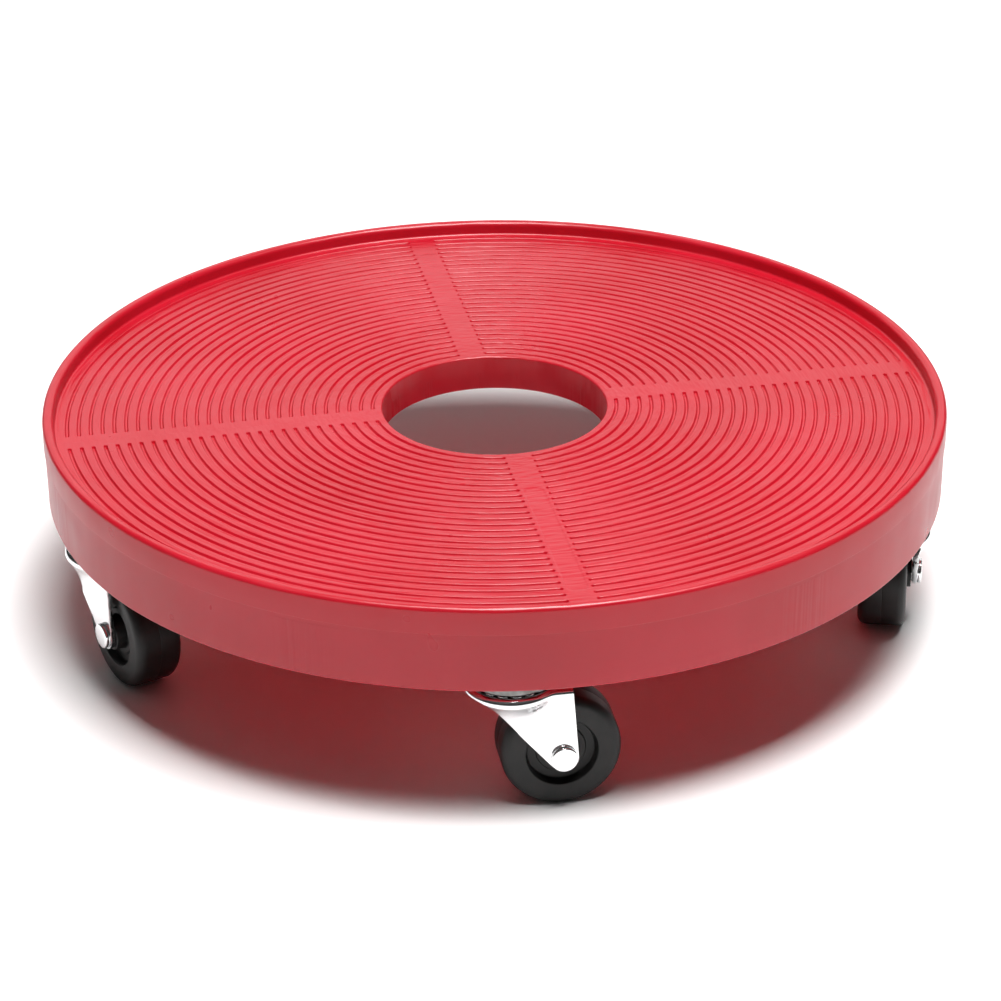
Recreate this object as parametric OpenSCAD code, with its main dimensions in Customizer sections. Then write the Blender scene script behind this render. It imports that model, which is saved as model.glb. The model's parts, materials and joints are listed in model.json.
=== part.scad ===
// Round platform dolly: one moulded deck on five swivel casters.
// The origin is the middle of the footprint, on the floor. +Z is up, and two of the
// deck's plain bands lie along X, the other two along Y.

/* [Deck] */
// Outside diameter of the rim
deck_d = 406.4; // [380:0.1:440]
// Height of the rim's crest above the floor
dolly_h = 101.6; // [98:0.1:110]
// Depth of the load surface below the rim's crest
recess_h = 6.4; // [4:0.1:9]
// Width of the rim
rim_w = 5; // [4.5:0.1:8]
// Thickness of the moulded walls
wall_t = 4.5; // [3.5:0.1:6]
// Diameter of the centre hole
hole_d = 101.6; // [90:0.1:105]
// Length of the centre hole's wall, from the load surface down
collar_h = 16.4; // [12:0.1:22]
// Height of the whole edge, from the rim's crest to the bottom of the skirt
edge_h = 38.5; // [36:0.1:39]
// Height of the band under the crest that stands slightly proud of the skirt
band_h = 12; // [10:0.5:16]
// How far the band stands proud of the skirt
band_step = 0.4; // [0.2:0.1:0.8]
// How far the skirt draws in towards its bottom
skirt_draft = 0.3; // [0:0.1:1]

/* [Grooves] */
// Number of concentric grooves in the load surface
groove_count = 27; // [10:1:27]
// Radius of the innermost groove
groove_r = 55.2; // [55:0.1:57]
// Distance from one groove to the next
groove_pitch = 5.28; // [4:0.01:5.28]
// Width of one groove
groove_w = 1.3; // [0.8:0.1:2]
// Depth of the grooves
groove_deep = 0.9; // [0.4:0.1:1.5]
// Width of the four plain bands that cross the grooves
plain_band_w = 12; // [8:0.5:20]

/* [Underside] */
// Number of radial ribs under the deck
rib_count = 10; // [5:5:20]
// Thickness of a rib
rib_t = 3.2; // [2:0.1:5]
// Depth of the ribs below the deck's underside
rib_h = 10; // [6:0.5:20]
// Mean radius of the ring rib
ring_rib_r = 112; // [90:1:140]
// Outer radius of a caster boss
boss_r = 19; // [18.5:0.1:21]
// Outer radius of the tube that takes the stem
boss_tube_r = 9.5; // [8:0.1:11]
// Webs between the tube and the wall of a boss
boss_webs = 6; // [4:1:8]

/* [Casters] */
// Number of casters
caster_count = 5; // [5:1:5]
// Angle of the first caster's stem, from +X
first_caster = 45; // [0:1:71]
// Radius of the circle that the stems stand on
stem_circle_r = 180.5; // [176:0.1:182]
// How far each caster stands turned past square to the deck's radius
caster_turn = [6, 10, 12.2, 7.5, 8.2];
// Height of the boss face above the floor
mount_z = 63.5; // [63.5:0.1:66]
// How far the wheel trails behind the stem
trail = 19.5; // [18:0.1:22]

/* [Wheel] */
// Diameter of a wheel
wheel_d = 50.8; // [48:0.1:50.8]
// Width of the tread
wheel_w = 21.5; // [18:0.1:22]
// Radius of the tread's shoulders
shoulder_r = 4; // [1:0.1:5]
// Length of the hub
hub_w = 25; // [23:0.1:25.2]
// Outer radius of the hub
hub_r = 7.5; // [7:0.1:8]

/* [Fork] */
// Thickness of the pressed sheet
sheet_t = 2; // [1.5:0.1:2.2]
// Distance between the inner faces of the legs
fork_gap = 26; // [25.8:0.1:27]
// Radius of the round crown
crown_r = 20.5; // [19:0.1:21.5]
// Radius of a leg's rounded end
leg_end_r = 6.2; // [6:0.1:8]
// Outer bend radius of the sheet
bend_r = 2.6; // [2.2:0.1:3]

/* [Bearing] */
// Diameter of a ball
ball_d = 4.76; // [4:0.01:4.8]
// Number of balls in a ring
ball_count = 16; // [12:1:17]
// Radius of the circle of ball centres
ball_ring_r = 14; // [13.5:0.1:14.2]
// Diameter of the stem
stem_d = 11.1; // [9.5:0.1:12]
// Length of the stem above the boss face
stem_l = 22; // [18:0.5:23]
// Diameter of the kingpin below the top race
kingpin_d = 8; // [6:0.1:9]
// Diameter of the rivet axle
axle_d = 6.35; // [5:0.05:7]
// Diameter of a rivet head
rivet_head_d = 11.2; // [9:0.1:12]
// Thickness of a rivet head
rivet_head_t = 2.2; // [1.5:0.1:3]
// Outer diameter of the axle bushing
bushing_d = 9.52; // [8.5:0.01:11]

/* [Hidden] */
$fn = 96;
CASTERS = [1 : caster_count];

// Colours
red = [0.84, 0.12, 0.18];
black = [0.16, 0.16, 0.15];
zinc = [0.86, 0.87, 0.88];
steel = [0.66, 0.67, 0.69];

// Deck
deck_r = deck_d / 2;
hole_r = hole_d / 2;
deck_z = dolly_h - recess_h;
under_z = deck_z - wall_t;
skirt_z = dolly_h - edge_h;
band_z = dolly_h - band_h;
crest_r = 2;
boss_wall_t = 3;
stem_room = 0.06;

// Caster heights, from the mounting face down
axle_z = wheel_d / 2;
race_t = 1.5;
race_seat_z = mount_z - race_t;
rolling_gap = 0.05;
ball_r = ball_d / 2;
ball_z = race_seat_z - ball_r - rolling_gap;
crown_z = ball_z - ball_r + 0.4;
crown_under_z = crown_z - sheet_t;
race_r = ball_ring_r + ball_r + rolling_gap + race_t;
race_skirt_gap = 0.8;

// Kingpin
kingpin_r = kingpin_d / 2;
pin_room = 0.06;
kingpin_shoulder_r = 7.5;
kingpin_shoulder_z = crown_z + 0.2;
washer_t = 1.4;
washer_r = 9;
washer_z = crown_under_z - washer_t;
kingpin_head_t = 1.8;
kingpin_head_r = 6.5;
kingpin_head_z = washer_z - 0.1;

// Grip ring groove
grip_z = mount_z + 14;
grip_w = 2.4;
grip_groove_r = stem_d / 2 - 1;
grip_split = 1.6;

// Fork legs
leg_in = fork_gap / 2;
leg_out = leg_in + sheet_t;
crown_rear_x = trail + 3.8;
front_edge_z = crown_under_z - 0.4;
sweep_r = 12;
sweep_x = -18.2;
sweep_stop = 38;
edge_lap = 0.03;
flare_low_z = crown_z - 12.6;
big = 80;

// Wheel faces, as radius and depth below the tread's face
web_deep = 4;
web_r = 14.3;
web_lip_r = 15.3;
step_r = 10.3;
step_h = 0.8;
bore_room = 0.08;

function caster_angle(k) = first_caster + (k - 1) * 360 / caster_count;

// Puts a child, drawn with its stem axis on the origin and its wheel trailing along +X,
// at caster k.
module at_caster(k) {
    rotate([0, 0, caster_angle(k)])
        translate([stem_circle_r, 0, 0])
            rotate([0, 0, 90 + caster_turn[k - 1]])
                children();
}

// Turns a child drawn along Z so that it lies along the wheel's axis.
module on_axle() {
    translate([trail, 0, axle_z])
        rotate([90, 0, 0])
            children();
}

// ---------------------------------------------------------------- deck

// Rim, band and skirt in section, with the crest rounded at both corners.
module edge_section() {
    rim_in_r = deck_r - rim_w;
    skirt_r = deck_r - band_step;
    translate([rim_in_r, deck_z - 1])
        square([rim_w, dolly_h - crest_r - deck_z + 1]);
    translate([rim_in_r + crest_r, deck_z])
        square([rim_w - 2 * crest_r, recess_h]);
    for (r = [rim_in_r + crest_r, deck_r - crest_r])
        translate([r, dolly_h - crest_r])
            circle(r = crest_r, $fn = 48);
    translate([deck_r - wall_t, band_z])
        square([wall_t, deck_z - band_z]);
    polygon([
        [skirt_r, band_z + 1],
        [skirt_r - skirt_draft, skirt_z],
        [skirt_r - wall_t, skirt_z],
        [skirt_r - wall_t - skirt_draft, band_z + 1]
    ]);
}

module plate_section() {
    translate([hole_r, under_z])
        square([deck_r - wall_t + 1 - hole_r, wall_t]);
    translate([hole_r, deck_z - collar_h])
        square([wall_t, collar_h]);
}

// Every groove, left out where the four plain bands cross.
module grooves() {
    difference() {
        for (i = [0 : groove_count - 1]) {
            r = groove_r + i * groove_pitch;
            rotate_extrude()
                translate([r - groove_w / 2, deck_z - groove_deep])
                    square([groove_w, groove_deep + 1]);
        }
        for (a = [0, 90])
            rotate([0, 0, a])
                translate([-deck_r, -plain_band_w / 2, deck_z - wall_t])
                    cube([deck_d, plain_band_w, 2 * wall_t]);
    }
}

module ribs() {
    inner_r = hole_r + wall_t / 2;
    outer_r = deck_r - wall_t + 1;
    for (i = [0 : rib_count - 1])
        rotate([0, 0, first_caster + i * 360 / rib_count])
            translate([inner_r, -rib_t / 2, under_z - rib_h])
                cube([outer_r - inner_r, rib_t, rib_h + 1]);
    rotate_extrude()
        translate([ring_rib_r - rib_t / 2, under_z - rib_h])
            square([rib_t, rib_h + 1]);
}

// Plan of a boss: a round wall, with straight sides that run out into the skirt.
module boss_plan(inset) {
    r = boss_r - inset;
    reach = deck_r - wall_t + 0.5 - inset;
    circle(r = r);
    intersection() {
        translate([0, -r])
            square([reach - stem_circle_r, 2 * r]);
        translate([-stem_circle_r, 0])
            circle(r = reach);
    }
}

// Space inside each boss that the ribs keep out of, so that its pockets stay open.
module boss_clearing() {
    translate([0, 0, mount_z - 1])
        linear_extrude(under_z - mount_z + 1)
            boss_plan(1);
}

// A boss: an outer wall and an inner tube, joined by webs that also reach the skirt.
module boss() {
    translate([0, 0, mount_z])
        linear_extrude(under_z - mount_z + 1) {
            difference() {
                boss_plan(0);
                boss_plan(boss_wall_t);
            }
            circle(r = boss_tube_r);
            intersection() {
                boss_plan(boss_wall_t / 2);
                for (i = [0 : boss_webs - 1])
                    rotate(i * 360 / boss_webs)
                        translate([boss_tube_r / 2, -rib_t / 2])
                            square([boss_r, rib_t]);
            }
        }
}

// Blind hole for a stem, with room above the stem's tip.
module stem_hole() {
    translate([0, 0, mount_z - 1])
        cylinder(d = stem_d + 2 * stem_room, h = stem_l + 2);
    translate([0, 0, grip_z - grip_w / 2 - 0.4])
        cylinder(d = stem_d + 1.2, h = grip_w + 0.8);
}

module at_bosses() {
    for (k = CASTERS)
        rotate([0, 0, caster_angle(k)])
            translate([stem_circle_r, 0, 0])
                children();
}

module deck() {
    color(red)
        difference() {
            union() {
                rotate_extrude() {
                    edge_section();
                    plate_section();
                }
                difference() {
                    ribs();
                    at_bosses() boss_clearing();
                }
                at_bosses() boss();
            }
            grooves();
            at_bosses() stem_hole();
        }
}

// ---------------------------------------------------------------- parts held by the deck

// Stem and kingpin in one turned piece: tip, grip groove, seat of the top race,
// shoulder, kingpin and riveted end, from the top down.
module stem(k) {
    stem_r = stem_d / 2;
    tip_z = mount_z + stem_l;
    color(steel)
        at_caster(k)
            rotate_extrude()
                polygon([
                    [0, tip_z],
                    [stem_r - 1.5, tip_z],
                    [stem_r, tip_z - 1.5],
                    [stem_r, grip_z + grip_w / 2],
                    [grip_groove_r, grip_z + grip_w / 2],
                    [grip_groove_r, grip_z - grip_w / 2],
                    [stem_r, grip_z - grip_w / 2],
                    [stem_r, race_seat_z],
                    [kingpin_shoulder_r, race_seat_z],
                    [kingpin_shoulder_r, kingpin_shoulder_z],
                    [kingpin_r, kingpin_shoulder_z],
                    [kingpin_r, kingpin_head_z],
                    [kingpin_head_r, kingpin_head_z],
                    [kingpin_head_r - 1, kingpin_head_z - kingpin_head_t],
                    [0, kingpin_head_z - kingpin_head_t]
                ]);
}

module grip_ring(k) {
    ring_out_r = stem_d / 2 + 0.5;
    ring_h = grip_w - 0.4;
    color(steel)
        at_caster(k)
            translate([0, 0, grip_z - ring_h / 2])
                difference() {
                    cylinder(r = ring_out_r, h = ring_h);
                    translate([0, 0, -1])
                        cylinder(r = grip_groove_r + 0.1, h = ring_h + 2);
                    translate([0, -grip_split / 2, -1])
                        cube([ring_out_r + 1, grip_split, ring_h + 2]);
                }
}

// Pressed cup that the balls run in, open side down.
module top_race(k) {
    rim_z = crown_z + race_skirt_gap;
    corner_r = ball_r + rolling_gap;
    color(zinc)
        at_caster(k)
            rotate_extrude()
                difference() {
                    union() {
                        translate([stem_d / 2, race_seat_z])
                            square([race_r - race_t - stem_d / 2, race_t]);
                        translate([race_r - race_t, rim_z])
                            square([race_t, race_seat_z - rim_z]);
                        translate([race_r - race_t, race_seat_z])
                            circle(r = race_t, $fn = 48);
                        translate([ball_ring_r, ball_z])
                            square([corner_r, corner_r]);
                    }
                    translate([ball_ring_r, ball_z])
                        circle(r = corner_r, $fn = 48);
                }
}

// ---------------------------------------------------------------- parts that swivel

module ball_ring(k) {
    color(steel)
        at_caster(k)
            for (i = [0 : ball_count - 1])
                rotate([0, 0, i * 360 / ball_count])
                    translate([ball_ring_r, 0, ball_z])
                        sphere(r = ball_r, $fn = 32);
}

// Side view of the fork down to the round ends of its legs. X runs to the wheel, Y is up.
// The front edge runs level, sweeps down and then runs straight to the round end.
module fork_outline() {
    sweep_end = [
        sweep_x + sweep_r * cos(sweep_stop),
        front_edge_z - sweep_r * (1 - sin(sweep_stop))
    ];
    lead_dx = trail - sweep_end[0];
    lead_dz = sweep_end[1] - axle_z;
    lead = atan2(lead_dz, lead_dx) + asin(leg_end_r / norm([lead_dx, lead_dz]));
    rear_dx = crown_rear_x - trail;
    rear_dz = crown_z - axle_z;
    lean = asin(leg_end_r / norm([rear_dx, rear_dz])) - atan2(rear_dx, rear_dz);
    start_r = leg_end_r - edge_lap;
    difference() {
        polygon([
            [trail - start_r * sin(lead), axle_z - start_r * cos(lead)],
            sweep_end,
            [sweep_x, front_edge_z],
            [-crown_r - 1, front_edge_z],
            [-crown_r - 1, crown_z + 1],
            [crown_rear_x, crown_z + 1],
            [crown_rear_x, crown_z],
            [trail + start_r * cos(lean), axle_z + start_r * sin(lean)]
        ]);
        translate([sweep_x, front_edge_z - sweep_r])
            circle(r = sweep_r);
    }
}

// Round ends of the two legs, about the axle.
module leg_ends() {
    on_axle()
        for (side = [-1, 1])
            translate([0, 0, side * (leg_in + sheet_t / 2)])
                cylinder(r = leg_end_r, h = sheet_t, center = true);
}

// Straight part of the fork in section, filled: a block with its upper corners rounded.
module channel_section(inset) {
    half = leg_out - inset;
    top_z = crown_z - inset;
    r = bend_r - inset;
    translate([-half, 0])
        square([2 * half, top_z - r]);
    translate([-half + r, 0])
        square([2 * (half - r), top_z]);
    for (side = [-1, 1])
        translate([side * (half - r), top_z - r])
            circle(r = r, $fn = 48);
}

// Flared crown in half section, filled: a cone with its upper edge rounded.
module flare_section(inset) {
    corner_x = crown_r - bend_r;
    corner_z = crown_z - bend_r;
    r = bend_r - inset;
    translate([0, corner_z - 1])
        square([corner_x, r + 1]);
    translate([corner_x, corner_z])
        circle(r = r, $fn = 48);
    polygon([
        [0, flare_low_z],
        [leg_out - inset, flare_low_z],
        [corner_x + r, corner_z],
        [0, corner_z]
    ]);
}

// Filled shape of the fork from x0 to x1. The pressed sheet lies between this shape at
// two insets, one sheet thickness apart.
module fork_envelope(inset, x0, x1) {
    translate([x0, 0, 0])
        rotate([90, 0, 90])
            linear_extrude(x1 - x0)
                channel_section(inset);
    rotate_extrude()
        flare_section(inset);
}

// The pressed sheet: a skin of even thickness, cut to the side view.
module fork_sheet() {
    intersection() {
        difference() {
            fork_envelope(0, -leg_out, trail + leg_end_r + 1);
            fork_envelope(sheet_t, -big, big);
        }
        translate([0, big / 2, 0])
            rotate([90, 0, 0])
                linear_extrude(big)
                    fork_outline();
    }
}

module fork(k) {
    color(zinc)
        at_caster(k)
            difference() {
                union() {
                    fork_sheet();
                    leg_ends();
                }
                translate([0, 0, crown_under_z - 1])
                    cylinder(r = kingpin_r + pin_room, h = sheet_t + 2);
                rotate_extrude()
                    translate([ball_ring_r, ball_z])
                        circle(r = ball_r + rolling_gap, $fn = 48);
                on_axle()
                    cylinder(d = axle_d, h = big, center = true);
            }
}

module kingpin_washer(k) {
    color(steel)
        at_caster(k)
            translate([0, 0, washer_z])
                difference() {
                    cylinder(r = washer_r, h = washer_t);
                    translate([0, 0, -1])
                        cylinder(r = kingpin_r + pin_room, h = washer_t + 2);
                }
}

// Shank with a head at each end, its edges broken.
module axle_rivet(k) {
    head_r = rivet_head_d / 2;
    head_z = leg_out + rivet_head_t;
    edge = 0.7;
    color(zinc)
        at_caster(k)
            on_axle()
                rotate_extrude()
                    polygon([
                        [0, head_z],
                        [head_r - edge, head_z],
                        [head_r, head_z - edge],
                        [head_r, leg_out],
                        [axle_d / 2, leg_out],
                        [axle_d / 2, -leg_out],
                        [head_r, -leg_out],
                        [head_r, -head_z + edge],
                        [head_r - edge, -head_z],
                        [0, -head_z]
                    ]);
}

module axle_bushing(k) {
    color(steel)
        at_caster(k)
            on_axle()
                difference() {
                    cylinder(d = bushing_d, h = fork_gap, center = true);
                    cylinder(d = axle_d, h = fork_gap + 2, center = true);
                }
}

// ---------------------------------------------------------------- wheel

// Half section of the wheel: tread with round shoulders, dished web, stepped hub.
module wheel_section() {
    half = wheel_w / 2;
    web = half - web_deep;
    bore_r = bushing_d / 2 + bore_room;
    translate([bore_r, -hub_w / 2])
        square([hub_r - bore_r, hub_w]);
    translate([hub_r - 1, -web - step_h])
        square([step_r - hub_r + 1, 2 * (web + step_h)]);
    polygon([
        [step_r - 1, -web],
        [web_r, -web],
        [web_lip_r, -half],
        [wheel_d / 2 - shoulder_r, -half],
        [wheel_d / 2 - shoulder_r, half],
        [web_lip_r, half],
        [web_r, web],
        [step_r - 1, web]
    ]);
    translate([web_r, shoulder_r - half])
        square([wheel_d / 2 - web_r, wheel_w - 2 * shoulder_r]);
    for (side = [-1, 1])
        translate([wheel_d / 2 - shoulder_r, side * (half - shoulder_r)])
            circle(r = shoulder_r, $fn = 48);
}

module wheel(k) {
    color(black)
        at_caster(k)
            on_axle()
                rotate_extrude()
                    wheel_section();
}

deck();
for (k = CASTERS) {
    stem(k);
    grip_ring(k);
    top_race(k);
    ball_ring(k);
    fork(k);
    kingpin_washer(k);
    axle_rivet(k);
    axle_bushing(k);
    wheel(k);
}
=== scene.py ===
import json
import math

import bmesh
import bpy
import numpy as np
from mathutils import Matrix, Vector


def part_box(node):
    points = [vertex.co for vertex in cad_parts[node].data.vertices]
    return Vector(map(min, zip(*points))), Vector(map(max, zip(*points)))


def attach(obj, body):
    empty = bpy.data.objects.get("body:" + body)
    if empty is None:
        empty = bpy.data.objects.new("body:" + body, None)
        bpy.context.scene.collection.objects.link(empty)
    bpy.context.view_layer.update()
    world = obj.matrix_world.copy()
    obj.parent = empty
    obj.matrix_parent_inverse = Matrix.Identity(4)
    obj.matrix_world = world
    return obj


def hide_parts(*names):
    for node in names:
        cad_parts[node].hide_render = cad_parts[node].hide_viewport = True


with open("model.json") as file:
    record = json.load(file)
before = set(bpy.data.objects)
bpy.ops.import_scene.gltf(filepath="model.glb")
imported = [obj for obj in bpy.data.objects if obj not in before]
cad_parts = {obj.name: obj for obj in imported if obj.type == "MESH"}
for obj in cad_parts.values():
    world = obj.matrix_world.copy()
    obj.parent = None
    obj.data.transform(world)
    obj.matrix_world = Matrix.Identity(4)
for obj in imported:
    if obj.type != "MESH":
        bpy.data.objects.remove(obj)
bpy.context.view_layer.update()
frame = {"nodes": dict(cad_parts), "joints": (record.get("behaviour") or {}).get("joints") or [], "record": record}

# Round platform dolly: a moulded red deck on five swivel casters. Every length below is
# in millimetres, as in the CAD source, until a mesh is made.
MM = 0.001
CASTERS = range(1, 6)

# Heights above the floor
CREST_Z = 101.6
DECK_Z = 95.2
UNDER_Z = 90.7
BAND_Z = 89.6
COLLAR_Z = 78.8
SKIRT_Z = 63.1
MOUNT_Z = 63.5
CROWN_Z = 57.59
AXLE_Z = 25.4

# Deck
DECK_R = min(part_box("deck")[1][:2]) / MM
RIM_IN_R = DECK_R - 5.0
SKIRT_R = DECK_R - 0.4
WALL = 4.5
HOLE_R = 50.8
STEM_CIRCLE_R = 180.5
STEM_FIRST = 45.0
STEM_STEP = 72.0
SKIRT_DRAFT = 0.3
GROOVE_RADII = [55.2 + 5.28 * i for i in range(27)]
GROOVE_HALF = 0.65
GROOVE_DEEP = 0.9
PLAIN_BAND_HALF = 6.0
RIB_H = 10.0
RIB_T = 3.2
RIB_COUNT = 10
RING_RIB_R = 112.0
BOSS_R = 19.0
BOSS_WALL = 3.0
BOSS_WEBS = 6
TUBE_R = 9.5
STEM_HOLE_R = 5.61
STEM_HOLE_DEEP = 23.0
# What stands inside the load surface is carried this far into it before it is joined
OVERLAP = 1.0

# Caster
TRAIL = 19.5
WHEEL_R = 25.4
TREAD_HALF = 10.75
HUB_HALF = 12.5
BORE_R = 4.84
STEM_FIT_R = 5.56
RACE_R = 17.93
RACE_T = 1.5
RACE_LIFT = 0.85
SHEET = 2.0
CROWN_R = 20.5
LEG_OUT = 15.0
BEND_R = 2.6
LEG_END_R = 6.2
LEG_LEAN = 0.0934
KINGPIN_HOLE_R = 4.06
FLARE_LOW_Z = 42.0
FLARE_DROP = 1.6
FRONT_EDGE_Z = 55.19
SWEEP_X = -18.2
SWEEP_R = 12.0
SWEEP_STOP = math.radians(38)
RIVET_R = 5.6
SHANK_R = 3.17


# ---------------------------------------------------------------- mesh helpers

def rounded(corners, steps=5):
    """Points of a closed outline through (r, z, fillet radius) corners."""
    points = []
    for i, (r, z, fillet) in enumerate(corners):
        here = Vector((r, z))
        if fillet == 0:
            points.append(here)
            continue
        back = (Vector(corners[i - 1][:2]) - here).normalized()
        ahead = (Vector(corners[(i + 1) % len(corners)][:2]) - here).normalized()
        half = back.angle(ahead) / 2
        centre = here + (back + ahead).normalized() * fillet / math.sin(half)
        start = here + back * fillet / math.tan(half) - centre
        stop = here + ahead * fillet / math.tan(half) - centre
        turn = math.pi - 2 * half
        for s in range(steps + 1):
            t = s / steps
            points.append(centre + (start * math.sin((1 - t) * turn)
                                    + stop * math.sin(t * turn)) / math.sin(turn))
    return [(p.x, p.y) for p in points]


def mesh_from(name, points, faces, merge=1e-6):
    """A mesh in metres from points in millimetres, with its faces turned outward or up."""
    mesh = bpy.data.meshes.new(name)
    mesh.from_pydata([[c * MM for c in p] for p in points], [], faces)
    work = bmesh.new()
    work.from_mesh(mesh)
    bmesh.ops.remove_doubles(work, verts=work.verts, dist=merge)
    bmesh.ops.dissolve_degenerate(work, edges=work.edges, dist=merge)
    bmesh.ops.recalc_face_normals(work, faces=work.faces)
    highest = max(work.faces, key=lambda face: face.calc_center_median().z)
    if highest.normal.z < 0:
        bmesh.ops.reverse_faces(work, faces=work.faces)
    work.to_mesh(mesh)
    work.free()
    return mesh


def spun(name, outline, columns=96, closed=True):
    """A mesh turned about Z from (r, z) points. An open outline starts and ends on the axis."""
    points = []
    rings = []
    for r, z in outline:
        first = len(points)
        count = 1 if r < 1e-6 else columns
        for c in range(count):
            a = 2 * math.pi * c / columns
            points.append((r * math.cos(a), r * math.sin(a), z))
        rings.append([first + c % count for c in range(columns)])
    pairs = list(zip(rings, rings[1:]))
    if closed:
        pairs.append((rings[-1], rings[0]))
    faces = []
    for low, high in pairs:
        for c in range(columns):
            n = (c + 1) % columns
            corners = [low[c], low[n], high[n], high[c]]
            faces.append(list(dict.fromkeys(corners)))
    return mesh_from(name, points, faces)


def extruded(name, outline, low, high):
    """A closed prism from a list of (x, y) points."""
    n = len(outline)
    points = [(x, y, low) for x, y in outline] + [(x, y, high) for x, y in outline]
    sides = [(i, (i + 1) % n, n + (i + 1) % n, n + i) for i in range(n)]
    return mesh_from(name, points, sides + [tuple(range(n))[::-1], tuple(range(n, 2 * n))])


def add(name, mesh, place=None):
    """An object in the scene, with its mesh moved to its place."""
    obj = bpy.data.objects.new(name, mesh)
    bpy.context.scene.collection.objects.link(obj)
    if place is not None:
        mesh.transform(place)
    return obj


def finish_piece(obj, body, material, slot, *nodes, sharp=35):
    """Smooth shading, material, body and the CAD nodes that the piece stands for."""
    obj.data.polygons.foreach_set("use_smooth", [True] * len(obj.data.polygons))
    obj.data.set_sharp_from_angle(angle=math.radians(sharp))
    obj.data.materials.clear()
    obj.data.materials.append(material)
    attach(obj, body)
    if nodes:
        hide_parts(*nodes)
    return obj


def joined(target, others):
    """Joins closed meshes to the target as one closed mesh."""
    group = bpy.data.collections.new("join")
    for other in others:
        group.objects.link(other)
    union = target.modifiers.new("join", "BOOLEAN")
    union.operation = "UNION"
    union.solver = "MANIFOLD"
    union.operand_type = "COLLECTION"
    union.collection = group
    depsgraph = bpy.context.evaluated_depsgraph_get()
    result = bpy.data.meshes.new_from_object(target.evaluated_get(depsgraph))
    target.modifiers.clear()
    target.data = result
    for other in others:
        bpy.data.objects.remove(other)
    bpy.data.collections.remove(group)


# ---------------------------------------------------------------- node materials

def material(name, **sockets):
    """A Principled material with the given socket values, and its nodes."""
    mat = bpy.data.materials.new(name)
    mat.use_nodes = True
    shader = mat.node_tree.nodes["Principled BSDF"]
    for socket, value in sockets.items():
        shader.inputs[socket.replace("_", " ")].default_value = value
    return mat, mat.node_tree, shader


def node(tree, kind, **values):
    """A node of the given kind with its settings and input values."""
    made = tree.nodes.new(kind)
    for key, value in values.items():
        if hasattr(made, key):
            setattr(made, key, value)
        else:
            made.inputs[key].default_value = value
    return made


def stretched_noise(tree, scale, detail, stretch=(1, 1, 1), roughness=0.5):
    """Noise over the object's own coordinates, stretched along its axes."""
    place = node(tree, "ShaderNodeTexCoord")
    mapping = node(tree, "ShaderNodeMapping")
    mapping.inputs["Scale"].default_value = stretch
    noise = node(tree, "ShaderNodeTexNoise", Scale=scale, Detail=detail, Roughness=roughness)
    tree.links.new(place.outputs["Object"], mapping.inputs["Vector"])
    tree.links.new(mapping.outputs["Vector"], noise.inputs["Vector"])
    return noise


def polar_place(tree):
    """Radius, angle and height round the object's Z axis, as one vector."""
    place = node(tree, "ShaderNodeTexCoord")
    axes = node(tree, "ShaderNodeSeparateXYZ")
    flat = node(tree, "ShaderNodeVectorMath", operation="MULTIPLY")
    flat.inputs[1].default_value = (1, 1, 0)
    radius = node(tree, "ShaderNodeVectorMath", operation="LENGTH")
    angle = node(tree, "ShaderNodeMath", operation="ARCTAN2")
    polar = node(tree, "ShaderNodeCombineXYZ")
    tree.links.new(place.outputs["Object"], axes.inputs["Vector"])
    tree.links.new(place.outputs["Object"], flat.inputs[0])
    tree.links.new(flat.outputs["Vector"], radius.inputs[0])
    tree.links.new(axes.outputs["Y"], angle.inputs[0])
    tree.links.new(axes.outputs["X"], angle.inputs[1])
    tree.links.new(radius.outputs["Value"], polar.inputs["X"])
    tree.links.new(angle.outputs["Value"], polar.inputs["Y"])
    tree.links.new(axes.outputs["Z"], polar.inputs["Z"])
    return polar


def polar_noise(tree, polar, across, along, up):
    """Noise with its own scale for radius, angle and height."""
    mapping = node(tree, "ShaderNodeMapping")
    mapping.inputs["Scale"].default_value = (across, along, up)
    noise = node(tree, "ShaderNodeTexNoise", Scale=1, Detail=1)
    tree.links.new(polar.outputs["Vector"], mapping.inputs["Vector"])
    tree.links.new(mapping.outputs["Vector"], noise.inputs["Vector"])
    return noise


def product(tree, first, second):
    """Two values multiplied."""
    made = node(tree, "ShaderNodeMath", operation="MULTIPLY")
    tree.links.new(first, made.inputs[0])
    tree.links.new(second, made.inputs[1])
    return made.outputs["Value"]


def ramp(tree, source, low, high, at=(0.35, 0.65)):
    """A colour ramp between two colours."""
    made = node(tree, "ShaderNodeValToRGB")
    made.color_ramp.elements[0].position = at[0]
    made.color_ramp.elements[1].position = at[1]
    made.color_ramp.elements[0].color = (*low, 1)
    made.color_ramp.elements[1].color = (*high, 1)
    tree.links.new(source, made.inputs["Fac"])
    return made


def spread(tree, source, low, high):
    """A value moved from 0..1 to low..high."""
    made = node(tree, "ShaderNodeMapRange")
    made.inputs["To Min"].default_value = low
    made.inputs["To Max"].default_value = high
    tree.links.new(source, made.inputs["Value"])
    return made


def bump(tree, shader, source, distance, strength=1.0, onto=None):
    """A bump from a height source, added over an earlier bump if one is given."""
    made = node(tree, "ShaderNodeBump", Strength=strength, Distance=distance)
    tree.links.new(source, made.inputs["Height"])
    if onto is not None:
        tree.links.new(onto.outputs["Normal"], made.inputs["Normal"])
    tree.links.new(made.outputs["Normal"], shader.inputs["Normal"])
    return made


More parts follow.
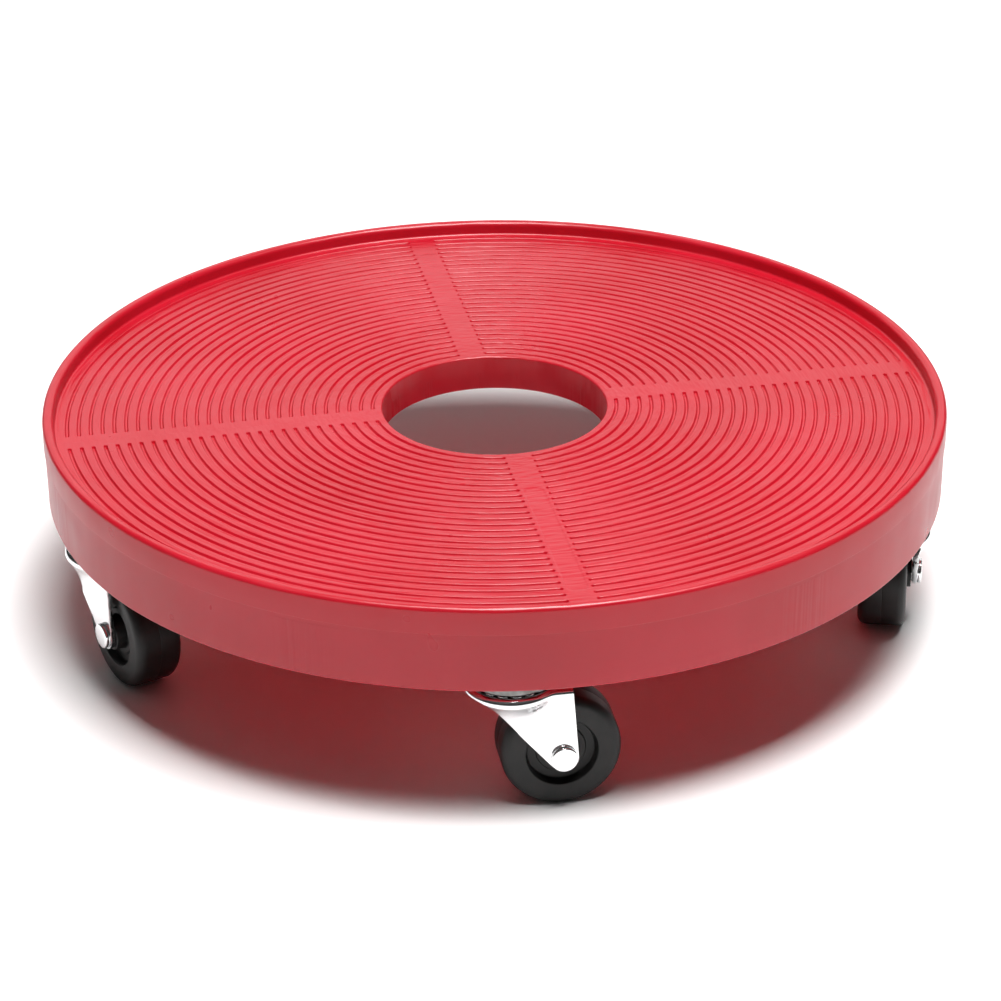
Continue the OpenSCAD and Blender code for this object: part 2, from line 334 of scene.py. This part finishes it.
def deck_plastic():
    """Moulded red plastic: faint clouding, a fine sheen texture and flow streaks down the skirt."""
    mat, tree, shader = material("deck_plastic", Roughness=0.3, IOR=1.55)
    cloud = stretched_noise(tree, 14, 2)
    colour = ramp(tree, cloud.outputs["Fac"], (0.45, 0.005, 0.016), (0.50, 0.008, 0.024))
    tree.links.new(colour.outputs["Color"], shader.inputs["Base Color"])
    polish = stretched_noise(tree, 60, 1)
    tree.links.new(spread(tree, polish.outputs["Fac"], 0.24, 0.38).outputs["Result"],
                   shader.inputs["Roughness"])
    waves = stretched_noise(tree, 45, 1)
    waves.normalize = False
    wavy = bump(tree, shader, waves.outputs["Fac"], 0.00012)
    polar = polar_place(tree)
    rings = polar_noise(tree, polar, 420, 9, 0)
    rings.normalize = False
    ringed = bump(tree, shader, rings.outputs["Fac"], 0.00015, 1.0, wavy)
    streaks = polar_noise(tree, polar, 0, 75, 14)
    patches = polar_noise(tree, polar, 0, 3.1, 0)
    patch = ramp(tree, patches.outputs["Fac"], (0, 0, 0), (1, 1, 1), (0.52, 0.66))
    height = node(tree, "ShaderNodeSeparateXYZ")
    tree.links.new(polar.outputs["Vector"], height.inputs["Vector"])
    skirt = node(tree, "ShaderNodeMath", operation="LESS_THAN")
    skirt.inputs[1].default_value = (BAND_Z - 2) * MM
    tree.links.new(height.outputs["Z"], skirt.inputs[0])
    marked = product(tree, skirt.outputs["Value"], patch.outputs["Color"])
    bump(tree, shader, product(tree, streaks.outputs["Fac"], marked), 0.0006, 1.0, ringed)
    glow = node(tree, "ShaderNodeBsdfTranslucent", Color=(0.95, 0.03, 0.05, 1))
    mix = node(tree, "ShaderNodeMixShader", Fac=0.24)
    tree.links.new(shader.outputs["BSDF"], mix.inputs[1])
    tree.links.new(glow.outputs["BSDF"], mix.inputs[2])
    tree.links.new(mix.outputs["Shader"], tree.nodes["Material Output"].inputs["Surface"])
    return mat


def bright_zinc():
    """Bright plating on pressed steel: nearly mirror-like, with faint waviness and haze."""
    mat, tree, shader = material("bright_zinc", Metallic=1.0)
    haze = stretched_noise(tree, 160, 4)
    tree.links.new(spread(tree, haze.outputs["Fac"], 0.1, 0.22).outputs["Result"],
                   shader.inputs["Roughness"])
    tint = stretched_noise(tree, 50, 2)
    colour = ramp(tree, tint.outputs["Fac"], (0.78, 0.79, 0.8), (0.88, 0.885, 0.89))
    tree.links.new(colour.outputs["Color"], shader.inputs["Base Color"])
    waves = stretched_noise(tree, 90, 2)
    bump(tree, shader, waves.outputs["Fac"], 0.0001)
    return mat


def race_plating_painted_shade():
    """The top race's bright plating, coloured dark as painted shade for the shadowed gap under the deck's skirt.
    """
    mat, tree, shader = material("race_plating_painted_shade", Metallic=1.0)
    film = stretched_noise(tree, 200, 3)
    tree.links.new(spread(tree, film.outputs["Fac"], 0.22, 0.4).outputs["Result"],
                   shader.inputs["Roughness"])
    # These dark colours are painted shade; the noise only varies tone and roughness at random
    colour = ramp(tree, film.outputs["Fac"], (0.10, 0.095, 0.09), (0.24, 0.235, 0.23))
    tree.links.new(colour.outputs["Color"], shader.inputs["Base Color"])
    return mat


def turned_steel():
    """Plain turned steel with a thin film of oil."""
    mat, tree, shader = material("turned_steel", Metallic=1.0)
    lines = stretched_noise(tree, 300, 3, (1, 1, 8))
    tree.links.new(spread(tree, lines.outputs["Fac"], 0.25, 0.45).outputs["Result"],
                   shader.inputs["Roughness"])
    colour = ramp(tree, lines.outputs["Fac"], (0.46, 0.46, 0.47), (0.58, 0.58, 0.585))
    tree.links.new(colour.outputs["Color"], shader.inputs["Base Color"])
    bump(tree, shader, lines.outputs["Fac"], 0.00003)
    return mat


def bearing_steel():
    """Polished balls with a trace of grease."""
    mat, tree, shader = material("bearing_steel", Metallic=1.0)
    grease = stretched_noise(tree, 400, 3)
    tree.links.new(spread(tree, grease.outputs["Fac"], 0.05, 0.2).outputs["Result"],
                   shader.inputs["Roughness"])
    colour = ramp(tree, grease.outputs["Fac"], (0.55, 0.54, 0.52), (0.72, 0.72, 0.73))
    tree.links.new(colour.outputs["Color"], shader.inputs["Base Color"])
    return mat


def wheel_rubber():
    """Hard black rubber, satin from the mould, with a little dust."""
    mat, tree, shader = material("wheel_rubber", IOR=1.5, Specular_IOR_Level=0.3)
    dust = stretched_noise(tree, 120, 5)
    colour = ramp(tree, dust.outputs["Fac"], (0.008, 0.0078, 0.0075), (0.015, 0.0145, 0.014))
    tree.links.new(colour.outputs["Color"], shader.inputs["Base Color"])
    tree.links.new(spread(tree, dust.outputs["Fac"], 0.36, 0.56).outputs["Result"],
                   shader.inputs["Roughness"])
    grain = stretched_noise(tree, 1400, 3)
    bump(tree, shader, grain.outputs["Fac"], 0.00004)
    return mat


MATERIALS = {
    "deck_plastic": deck_plastic(),
    "bright_zinc": bright_zinc(),
    "race_plating_painted_shade": race_plating_painted_shade(),
    "turned_steel": turned_steel(),
    "bearing_steel": bearing_steel(),
    "wheel_rubber": wheel_rubber(),
}


# ---------------------------------------------------------------- deck

# Distances from a plain band's middle line at which the deck's mesh has columns of its own
BAND_COLUMNS = np.array([0, 2, 3.6, 4.2, 4.5, 4.8, 5.4, 5.75, 5.95, 6.1, 6.25, 6.4, 6.55, 6.7, 7, 7.6, 9])
FREE_COLUMNS = 96
GROOVE_ROWS = (-1.3, -1.1, -0.95, -0.8, -0.65, -0.5, -0.3, 0, 0.3, 0.5, 0.65, 0.8, 0.95, 1.1, 1.3)
# Small round pocket at the end of each groove
END_POCKET_R = 0.8
END_POCKET_DEEP = 1.1
# Faint outline of a mould insert on the band that runs along -Y
INSERT_R = (85.0, 180.0)
INSERT_HALF = 4.5
INSERT_STEP = 0.28
# Shallow marks on the skirt, in degrees to each side of a stem
SINK_ANGLE = 5.0
SINK_HALF = 0.9
SINK_DEEP = 0.12


def smoothstep(low, high, value):
    """0 below low, 1 above high and a smooth rise between."""
    t = np.clip((value - low) / (high - low), 0, 1)
    return t * t * (3 - 2 * t)


def deck_section():
    """The deck's closed section as (r, z) points, from the load surface's inner edge outward."""
    inner_skirt = SKIRT_R - WALL
    top = []
    for g in GROOVE_RADII:
        top += [(g + step, DECK_Z) for step in GROOVE_ROWS]
        top.append((g + 2.64, DECK_Z))
    outline = rounded([
        (HOLE_R, DECK_Z, 1.0),
        (RIM_IN_R, DECK_Z, 1.2),
        (RIM_IN_R, CREST_Z, 2.2),
        (DECK_R, CREST_Z, 2.0),
        (DECK_R, BAND_Z, 0.25),
        (SKIRT_R, BAND_Z, 0.15),
        (SKIRT_R - SKIRT_DRAFT, SKIRT_Z, 1.0),
        (inner_skirt - SKIRT_DRAFT, SKIRT_Z, 1.0),
        (inner_skirt, UNDER_Z, 2.0),
        (HOLE_R + WALL, UNDER_Z, 2.0),
        (HOLE_R + WALL, COLLAR_Z, 0.8),
        (HOLE_R, COLLAR_Z, 0.8),
    ], steps=6)
    inner_edge = outline[:7]
    rim = outline[7:]
    top = [p for p in top if inner_edge[-1][0] + 0.05 < p[0] < rim[0][0] - 0.05]
    skirt = [i for i, p in enumerate(rim) if p[1] < BAND_Z - 0.5][0]
    low = rim[skirt]
    rows = np.linspace(BAND_Z - 1.5, low[1] + 0.5, 12)
    rim[skirt:skirt] = [(SKIRT_R - SKIRT_DRAFT * (BAND_Z - z) / (BAND_Z - SKIRT_Z), z) for z in rows]
    return inner_edge + top + rim


def column_angles(r):
    """Angle and distance from the nearest plain band's middle line for each column at radius r."""
    near = np.arcsin(BAND_COLUMNS / r)
    free = np.linspace(near[-1], math.pi / 2 - near[-1], FREE_COLUMNS + 2)[1:-1]
    quarter = np.concatenate([near, free, math.pi / 2 - near[:0:-1]])
    away = np.concatenate([BAND_COLUMNS, np.full(FREE_COLUMNS, 99.0), BAND_COLUMNS[:0:-1]])
    angles = np.concatenate([quarter + q * math.pi / 2 for q in range(4)])
    return angles, np.tile(away, 4)


def groove_depth(r, away):
    """Depth of the load surface below its lands. The grooves end in pockets, short of the bands."""
    near = min(GROOVE_RADII, key=lambda g: abs(g - r))
    past_end = np.clip(PLAIN_BAND_HALF + GROOVE_HALF - away, 0, None)
    distance = np.hypot(r - near, past_end)
    groove = GROOVE_DEEP * (1 - smoothstep(GROOVE_HALF - 0.4, GROOVE_HALF + 0.4, distance))
    from_end = np.hypot(r - near, away - PLAIN_BAND_HALF - GROOVE_HALF)
    pocket = END_POCKET_DEEP * (1 - smoothstep(END_POCKET_R - 0.3, END_POCKET_R + 0.2, from_end))
    return np.maximum(groove, pocket)


def insert_depth(r, angles, away):
    """Small step inside the rounded outline of the mould insert."""
    on_band = np.abs(np.mod(angles, 2 * math.pi) - 1.5 * math.pi) < 0.3
    middle = sum(INSERT_R) / 2
    straight = (INSERT_R[1] - INSERT_R[0]) / 2 - INSERT_HALF
    past = np.clip(abs(r - middle) - straight, 0, None)
    inside = 1 - smoothstep(INSERT_HALF - 0.2, INSERT_HALF + 0.2, np.hypot(away, past))
    return INSERT_STEP * inside * on_band


def stem_angle(k):
    return STEM_FIRST + STEM_STEP * (k - 1)


def sink_marks(angles):
    """Shallow upright hollows in the skirt where the bosses' side walls join it."""
    depth = np.zeros_like(angles)
    for k in CASTERS:
        for side in (-SINK_ANGLE, SINK_ANGLE):
            middle = math.radians(stem_angle(k) + side)
            off = np.mod(angles - middle + math.pi, 2 * math.pi) - math.pi
            depth += SINK_DEEP * np.exp(-(off / math.radians(SINK_HALF)) ** 2)
    return depth


def deck_shell():
    """The deck's outer shape, turned from its section, with grooves, insert and sink marks."""
    points = []
    faces = []
    section = deck_section()
    for r, z in section:
        angles, away = column_angles(r)
        heights = np.full_like(angles, z)
        radii = np.full_like(angles, r)
        if abs(z - DECK_Z) < 1e-6:
            heights -= groove_depth(r, away) + insert_depth(r, angles, away)
        if SKIRT_Z + 1.2 < z < BAND_Z - 1 and r > SKIRT_R - 1:
            radii -= sink_marks(angles)
        points += list(zip(radii * np.cos(angles), radii * np.sin(angles), heights))
    columns = len(points) // len(section)
    for i in range(len(section)):
        here = i * columns
        there = ((i + 1) % len(section)) * columns
        for c in range(columns):
            n = (c + 1) % columns
            faces.append((here + c, here + n, there + n, there + c))
    return add("deck_visual", mesh_from("deck_visual", points, faces))


def turned_to(angle, distance=0.0):
    """Matrix that moves out along X and then turns about the deck's middle."""
    return Matrix.Rotation(math.radians(angle), 4, "Z") @ Matrix.Translation((distance * MM, 0, 0))


def rib(index):
    """One radial rib, with its lower edges rounded. Every second one ends at a boss."""
    inner = HOLE_R + WALL / 2
    at_boss = STEM_CIRCLE_R - BOSS_R + BOSS_WALL / 2
    outer = at_boss if index % 2 == 0 else SKIRT_R - WALL + OVERLAP
    low = UNDER_Z - RIB_H
    top = UNDER_Z + OVERLAP
    half = RIB_T / 2
    chamfer = 0.8
    section = [(-half, top), (-half, low + chamfer), (-half + chamfer, low),
               (half - chamfer, low), (half, low + chamfer), (half, top)]
    points = [(r, y, z) for r in (inner, outer) for y, z in section]
    n = len(section)
    sides = [(i, (i + 1) % n, n + (i + 1) % n, n + i) for i in range(n)]
    faces = sides + [tuple(range(n)), tuple(range(n, 2 * n))[::-1]]
    return add("rib", mesh_from("rib", points, faces), turned_to(STEM_FIRST + 360 / RIB_COUNT * index))


def ring_rib():
    """The round rib that crosses the radial ones."""
    low = UNDER_Z - RIB_H
    outline = rounded([
        (RING_RIB_R - RIB_T / 2, UNDER_Z + OVERLAP, 0),
        (RING_RIB_R - RIB_T / 2, low, 0.8),
        (RING_RIB_R + RIB_T / 2, low, 0.8),
        (RING_RIB_R + RIB_T / 2, UNDER_Z + OVERLAP, 0),
    ])
    return add("ring_rib", spun("ring_rib", outline, 384))


def boss_wall(place, reach):
    """D-shaped wall of a boss, open outward where it runs into the skirt."""
    half_turn = [math.radians(90 + 180 * i / 48) for i in range(49)]
    inner_r = BOSS_R - BOSS_WALL
    outer = [(reach, BOSS_R)]
    outer += [(BOSS_R * math.cos(a), BOSS_R * math.sin(a)) for a in half_turn]
    outer.append((reach, -BOSS_R))
    inner = [(reach, -inner_r)]
    inner += [(inner_r * math.cos(a), inner_r * math.sin(a)) for a in half_turn[::-1]]
    inner.append((reach, inner_r))
    return add("boss_wall", extruded("boss_wall", outer + inner, MOUNT_Z, UNDER_Z + OVERLAP), place)


def boss_tube(place):
    """Round tube with the blind hole that takes the stem."""
    chamfer = 0.5
    top = UNDER_Z + OVERLAP
    hole_top = MOUNT_Z + STEM_HOLE_DEEP
    outline = [(0, top), (TUBE_R, top), (TUBE_R, MOUNT_Z + chamfer), (TUBE_R - chamfer, MOUNT_Z),
               (STEM_HOLE_R + chamfer, MOUNT_Z), (STEM_HOLE_R, MOUNT_Z + chamfer),
               (STEM_HOLE_R, hole_top), (0, hole_top)]
    return add("boss_tube", spun("boss_tube", outline, 64, closed=False), place)


def boss_web(place, reach, index):
    """One web from the tube to the boss's wall, or to the skirt when it points outward."""
    step = math.radians(360 / BOSS_WEBS)
    to_wall = BOSS_R - BOSS_WALL + OVERLAP
    length = to_wall
    if index == 0:
        length = reach
    if index in (1, BOSS_WEBS - 1):
        length = to_wall / math.sin(step)
    half = RIB_T / 2
    start = TUBE_R - OVERLAP
    outline = [(start, -half), (length, -half), (length, half), (start, half)]
    web = extruded("boss_web", outline, MOUNT_Z, UNDER_Z + OVERLAP)
    web.transform(Matrix.Rotation(step * index, 4, "Z"))
    return add("boss_web", web, place)


def boss(k):
    """Wall, stem tube and webs of one boss."""
    place = turned_to(stem_angle(k), STEM_CIRCLE_R)
    reach = math.sqrt((DECK_R - WALL) ** 2 - BOSS_R ** 2) - STEM_CIRCLE_R
    webs = [boss_web(place, reach, i) for i in range(BOSS_WEBS)]
    return [boss_wall(place, reach), boss_tube(place)] + webs


def make_deck():
    """The whole deck as one closed mesh."""
    shell = deck_shell()
    parts = [rib(i) for i in range(RIB_COUNT)] + [ring_rib()]
    for k in CASTERS:
        parts += boss(k)
    joined(shell, parts)
    return finish_piece(shell, "platform", MATERIALS["deck_plastic"], "deck_plastic", "deck", sharp=38)


# ---------------------------------------------------------------- casters

def caster_place(k):
    """Matrix from a caster's own frame, stem on Z and wheel trailing along +X, to its place."""
    joints = {j["name"]: j for j in frame["joints"]}
    stem = Vector(joints[f"swivel_{k}"]["pos_m"])
    wheel = Vector(joints[f"wheel_spin_{k}"]["pos_m"])
    angle = math.atan2(wheel.y - stem.y, wheel.x - stem.x)
    return Matrix.Translation((stem.x, stem.y, 0)) @ Matrix.Rotation(angle, 4, "Z")


def axle_frame():
    """Matrix that lays a mesh turned about Z along the wheel's axle."""
    centre = Matrix.Translation((TRAIL * MM, 0, AXLE_Z * MM))
    return centre @ Matrix.Rotation(math.pi / 2, 4, "X")


def flare(z):
    """Radius of the fork's round crown at height z: a flare below, a rounded edge above."""
    corner_z = CROWN_Z - BEND_R
    edge_z = corner_z - FLARE_DROP
    if z > edge_z:
        return CROWN_R - BEND_R + math.sqrt(max(BEND_R ** 2 - (z - corner_z) ** 2, 0))
    start_r = CROWN_R - BEND_R + math.sqrt(BEND_R ** 2 - FLARE_DROP ** 2)
    s = max(0.0, (z - FLARE_LOW_Z) / (edge_z - FLARE_LOW_Z))
    return LEG_OUT + (start_r - LEG_OUT) * s ** 1.5


def channel(z):
    """Half the fork's width behind the crown at height z."""
    over = z - (CROWN_Z - BEND_R)
    if over <= 0:
        return LEG_OUT
    return LEG_OUT - BEND_R + math.sqrt(max(BEND_R ** 2 - over ** 2, 0))


def soft_max(a, b, blend=2.5):
    """The larger of two lengths, with a round change from one to the other."""
    h = max(blend - abs(a - b), 0) / blend
    return max(a, b) + h * h * blend / 4


def lower_edge(x):
    """Height of the fork's lower edge at x, in side view."""
    turn_x = SWEEP_X + SWEEP_R * math.cos(SWEEP_STOP)
    turn_z = FRONT_EDGE_Z - SWEEP_R * (1 - math.sin(SWEEP_STOP))
    dx = TRAIL - turn_x
    dz = turn_z - AXLE_Z
    lead = math.atan2(dz, dx) + math.asin(LEG_END_R / math.hypot(dx, dz))
    end_x = TRAIL - LEG_END_R * math.sin(lead)
    if x <= SWEEP_X:
        return FRONT_EDGE_Z
    if x <= turn_x:
        return FRONT_EDGE_Z - SWEEP_R + math.sqrt(SWEEP_R ** 2 - (x - SWEEP_X) ** 2)
    if x <= end_x:
        return turn_z - (x - turn_x) * math.tan(lead)
    return AXLE_Z - math.sqrt(max(LEG_END_R ** 2 - (x - TRAIL) ** 2, 0))


def fork_columns():
    """One column of outer points for each step round the fork's plan, on the +Y side."""
    columns = []
    for i in range(37):
        angle = math.pi * (1 - 0.5 * i / 36)
        z = FRONT_EDGE_Z
        # The edge's height and the flare's radius depend on each other, so they are settled in turns
        for _ in range(30):
            z = 0.5 * z + 0.5 * lower_edge(flare(z) * math.cos(angle))
        columns.append(("front", angle, z))
    # The last column stops just short of the leg's end, where it still has some height
    rear = LEG_END_R * 0.9975
    steps = np.concatenate([np.linspace(0, 13, 20)[1:], np.linspace(13, TRAIL + rear, 34)[1:]])
    for x in steps:
        columns.append(("rear", float(x), lower_edge(float(x))))
    return columns


def fork_point(column, z):
    """Outer surface point of a column at height z."""
    kind, where, _ = column
    if kind == "front":
        r = flare(z)
        return (r * math.cos(where), r * math.sin(where), z)
    lean = 1 - LEG_LEAN * (z - AXLE_Z) / (CROWN_Z - AXLE_Z)
    x = where * lean
    across = math.sqrt(max(flare(z) ** 2 - x * x, 0))
    return (x, soft_max(channel(z), across), z)


def fork_strip(column):
    """Points of one column, from the lower edge over the crown's rounded edge to the kingpin hole."""
    kind, where, low = column
    bend_low = CROWN_Z - BEND_R
    sides = [float(z) for z in np.linspace(low, max(bend_low, low + 0.05), 20)]
    over = [bend_low + BEND_R * math.sin(math.radians(a)) for a in range(9, 91, 9)]
    strip = [fork_point(column, z) for z in sides + [z for z in over if z > sides[-1] + 0.02]]
    while len(strip) < 30:
        strip.insert(1, strip[0])
    edge = strip[-1]
    if kind == "front":
        hub = (KINGPIN_HOLE_R * math.cos(where), KINGPIN_HOLE_R * math.sin(where), CROWN_Z)
    else:
        hub = (edge[0], math.sqrt(max(KINGPIN_HOLE_R ** 2 - edge[0] ** 2, 0)), CROWN_Z)
    for t in (0.06, 0.2, 0.4, 0.6, 0.8, 1.0):
        strip.append(tuple(e + t * (h - e) for e, h in zip(edge, hub)))
    return strip


def fork_sheet(name):
    """The pressed sheet's outer skin, both sides of it."""
    points = []
    faces = []
    columns = fork_columns()
    for flip in (1, -1):
        grid = []
        for column in columns:
            strip = fork_strip(column)
            grid.append(range(len(points), len(points) + len(strip)))
            points += [(x, flip * y, z) for x, y, z in strip]
        for here, there in zip(grid, grid[1:]):
            for r in range(len(here) - 1):
                faces.append((here[r], there[r], there[r + 1], here[r + 1]))
    return mesh_from(name, points, faces, merge=2e-5)


def make_fork(k):
    """The skin of one fork, thickened to its sheet with eased edges."""
    obj = add(f"fork_visual_{k}", fork_sheet(f"fork_visual_{k}"), caster_place(k))
    thick = obj.modifiers.new("sheet", "SOLIDIFY")
    thick.thickness = SHEET * MM
    thick.offset = -1
    thick.use_even_offset = True
    edge = obj.modifiers.new("edge", "BEVEL")
    edge.width = 0.25 * MM
    edge.segments = 2
    edge.limit_method = "ANGLE"
    edge.angle_limit = math.radians(60)
    return finish_piece(obj, f"yoke_{k}", MATERIALS["bright_zinc"], "bright_zinc", f"fork_{k}", sharp=50)


def make_race(k):
    """Pressed cup over the balls, with a rolled outer edge."""
    rim = CROWN_Z + RACE_LIFT
    top = MOUNT_Z - 0.02
    roof = MOUNT_Z - RACE_T
    outline = rounded([
        (STEM_FIT_R, roof, 0),
        (STEM_FIT_R, top, 0.3),
        (RACE_R, top, 2.6),
        (RACE_R, rim, 0.5),
        (RACE_R - RACE_T, rim, 0.5),
        (RACE_R - RACE_T, roof, 1.2),
    ], steps=8)
    mesh = spun(f"race_visual_{k}", outline, 128)
    obj = add(f"race_visual_{k}", mesh, caster_place(k))
    # The race gets plating painted dark as shade
    plating = MATERIALS["race_plating_painted_shade"]
    return finish_piece(obj, "platform", plating, "bright_zinc", f"top_race_{k}")


def make_rivet(k):
    """Axle rivet with nearly flat heads outside the legs."""
    face = LEG_OUT + 0.01
    side = [(SHANK_R, face), (RIVET_R - 0.3, face), (RIVET_R, face + 0.3), (RIVET_R, face + 1.65),
            (RIVET_R - 0.12, face + 1.9), (RIVET_R - 0.35, face + 2.05), (RIVET_R - 0.7, face + 2.12),
            (RIVET_R - 3.0, face + 2.17), (0, face + 2.19)]
    outline = [(r, -z) for r, z in side[::-1]] + side
    mesh = spun(f"rivet_visual_{k}", outline, 64, closed=False)
    obj = add(f"rivet_visual_{k}", mesh, caster_place(k) @ axle_frame())
    plating = MATERIALS["bright_zinc"]
    return finish_piece(obj, f"yoke_{k}", plating, "bright_zinc", f"axle_rivet_{k}", sharp=50)


def make_wheel(k):
    """Moulded wheel: crowned shoulders, a dished web with a step, a hub and a parting line."""
    line = 0.12
    web = TREAD_HALF - 4.0
    step = TREAD_HALF - 3.2
    corners = [
        (WHEEL_R - line, 0.0, 0),
        (WHEEL_R - line / 3, 0.12, 0),
        (WHEEL_R, 0.35, 0),
        (WHEEL_R, TREAD_HALF, 4.0),
        (15.3, TREAD_HALF, 0.6),
        (14.3, web, 0.8),
        (10.7, web, 0.3),
        (10.3, step, 0.3),
        (7.9, step, 0.5),
        (7.5, HUB_HALF, 0.4),
        (BORE_R, HUB_HALF, 0.3),
    ]
    mirrored = [(r, -z, f) for r, z, f in corners[:0:-1]]
    outline = rounded(corners + mirrored, steps=8)
    mesh = spun(f"wheel_visual_{k}", outline, 160)
    obj = add(f"wheel_visual_{k}", mesh, caster_place(k) @ axle_frame())
    return finish_piece(obj, f"wheel_{k}", MATERIALS["wheel_rubber"], "wheel_rubber", f"wheel_{k}")


def dress_cad_nodes():
    """Materials for the CAD nodes that stay: stems, grip rings, balls, washers and bushings."""
    slots = {part["node"]: part["material_slot"] for part in frame["record"]["subparts"]}
    for name, obj in frame["nodes"].items():
        obj.data.materials.clear()
        obj.data.materials.append(MATERIALS[slots[name]])


# ---------------------------------------------------------------- studio

def make_floor():
    """Plain pale floor."""
    mat, tree, shader = material("studio_floor", Roughness=0.6)
    tone = stretched_noise(tree, 3, 2)
    colour = ramp(tree, tone.outputs["Fac"], (0.925, 0.92, 0.915), (0.945, 0.94, 0.935))
    tree.links.new(colour.outputs["Color"], shader.inputs["Base Color"])
    mesh = bpy.data.meshes.new("studio_floor")
    mesh.from_pydata([(-6, -6, 0), (6, -6, 0), (6, 6, 0), (-6, 6, 0)], [], [(0, 1, 2, 3)])
    floor = add("studio_floor", mesh)
    floor.data.materials.append(mat)


def softbox(name, place, aim, size, power):
    """A rectangular light that faces a point."""
    data = bpy.data.lights.new(name, "AREA")
    data.shape = "RECTANGLE"
    data.size, data.size_y = size
    data.energy = power
    obj = bpy.data.objects.new(name, data)
    bpy.context.scene.collection.objects.link(obj)
    obj.location = place
    obj.rotation_euler = (Vector(aim) - Vector(place)).to_track_quat("-Z", "Y").to_euler()
    return obj


def make_world():
    """Dim surroundings that are a little brighter overhead."""
    world = bpy.data.worlds.new("studio")
    world.use_nodes = True
    tree = world.node_tree
    back = tree.nodes["Background"]
    place = node(tree, "ShaderNodeTexCoord")
    axes = node(tree, "ShaderNodeSeparateXYZ")
    tree.links.new(place.outputs["Generated"], axes.inputs["Vector"])
    tree.links.new(ramp(tree, axes.outputs["Z"], (0.02, 0.02, 0.02), (0.12, 0.118, 0.117),
                        (0.2, 0.9)).outputs["Color"], back.inputs["Color"])
    bpy.context.scene.world = world


def make_camera():
    """A long lens from slightly left of the dolly's front, looking down on it."""
    data = bpy.data.cameras.new("camera")
    data.lens = 121.1
    data.sensor_width = 36
    data.clip_start = 0.1
    data.clip_end = 30
    camera = bpy.data.objects.new("camera", data)
    bpy.context.scene.collection.objects.link(camera)
    forward = Vector((0.16810, 0.87314, -0.45757)).normalized()
    up = Vector((0.09487, 0.44769, 0.88914)).normalized()
    right = forward.cross(up).normalized()
    up = right.cross(forward)
    turn = Matrix((right, up, -forward)).transposed()
    camera.matrix_world = Matrix.Translation((-0.25776, -1.35124, 0.75386)) @ turn.to_4x4()
    bpy.context.scene.camera = camera


def make_studio():
    make_floor()
    make_world()
    softbox("overhead", (0.14, -0.25, 1.9), (0, 0, 0), (1.0, 1.0), 72)
    # A card behind the dolly that only its glossy surfaces mirror
    card = softbox("rear_card", (0.2, 2.2, 1.15), (0, 0, 0.09), (3.4, 1.5), 21)
    card.visible_diffuse = False
    bpy.context.scene.view_settings.view_transform = "Standard"


make_deck()
for k in CASTERS:
    make_fork(k)
    make_race(k)
    make_rivet(k)
    make_wheel(k)
dress_cad_nodes()
make_studio()
make_camera()
